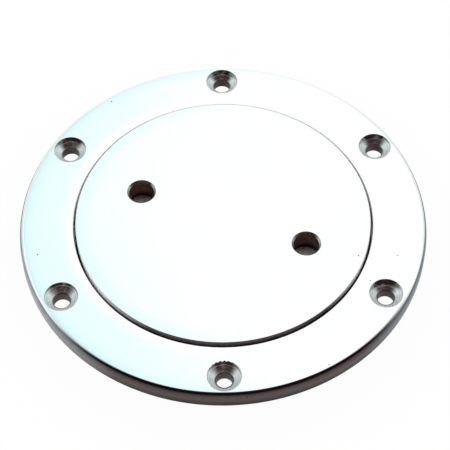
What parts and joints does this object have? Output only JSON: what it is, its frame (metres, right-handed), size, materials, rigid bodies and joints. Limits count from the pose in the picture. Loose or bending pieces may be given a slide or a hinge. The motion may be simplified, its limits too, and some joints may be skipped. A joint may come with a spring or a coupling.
{
  "type": "screw-down deck plate",
  "caption": "Round polished-metal deck plate: a countersunk mounting ring with a screw-out lid turned by a pin spanner, for access through a boat's deck.",
  "frame": {"origin": "centre of the ring's underside, on the deck face, on the axis that the lid screws on", "axes": "+Z out of the deck along the lid's axis; a deck screw lies on +Y and on -Y"},
  "size_m": [0.135, 0.135, 0.0191],
  "materials": {
    "ring_metal": "mirror-polished face, turned rim, drilled holes",
    "lid_metal": "mirror-polished face, machined thread and holes",
    "seal_rubber": "smooth black rubber"
  },
  "bodies": {
    "ring": {"deck_ring": "ring_metal"},
    "seal": {"o_ring": "seal_rubber"},
    "lid": {"screw_lid": "lid_metal"}
  },
  "joints": [
    {"name": "lid_lift", "type": "slide", "parent": "ring", "child": "seal", "axis": [0, 0, 1], "range_m": [0, 0.0185]},
    {"name": "lid_turn", "type": "hinge", "parent": "seal", "child": "lid", "pos_m": [0, 0, 0.003], "axis": [0, 0, 1], "range_deg": [0, 1620]}
  ],
  "couplings": [
    {"joint": "lid_lift", "follows": "lid_turn", "m_per_rad": 0.00063662}
  ]
}
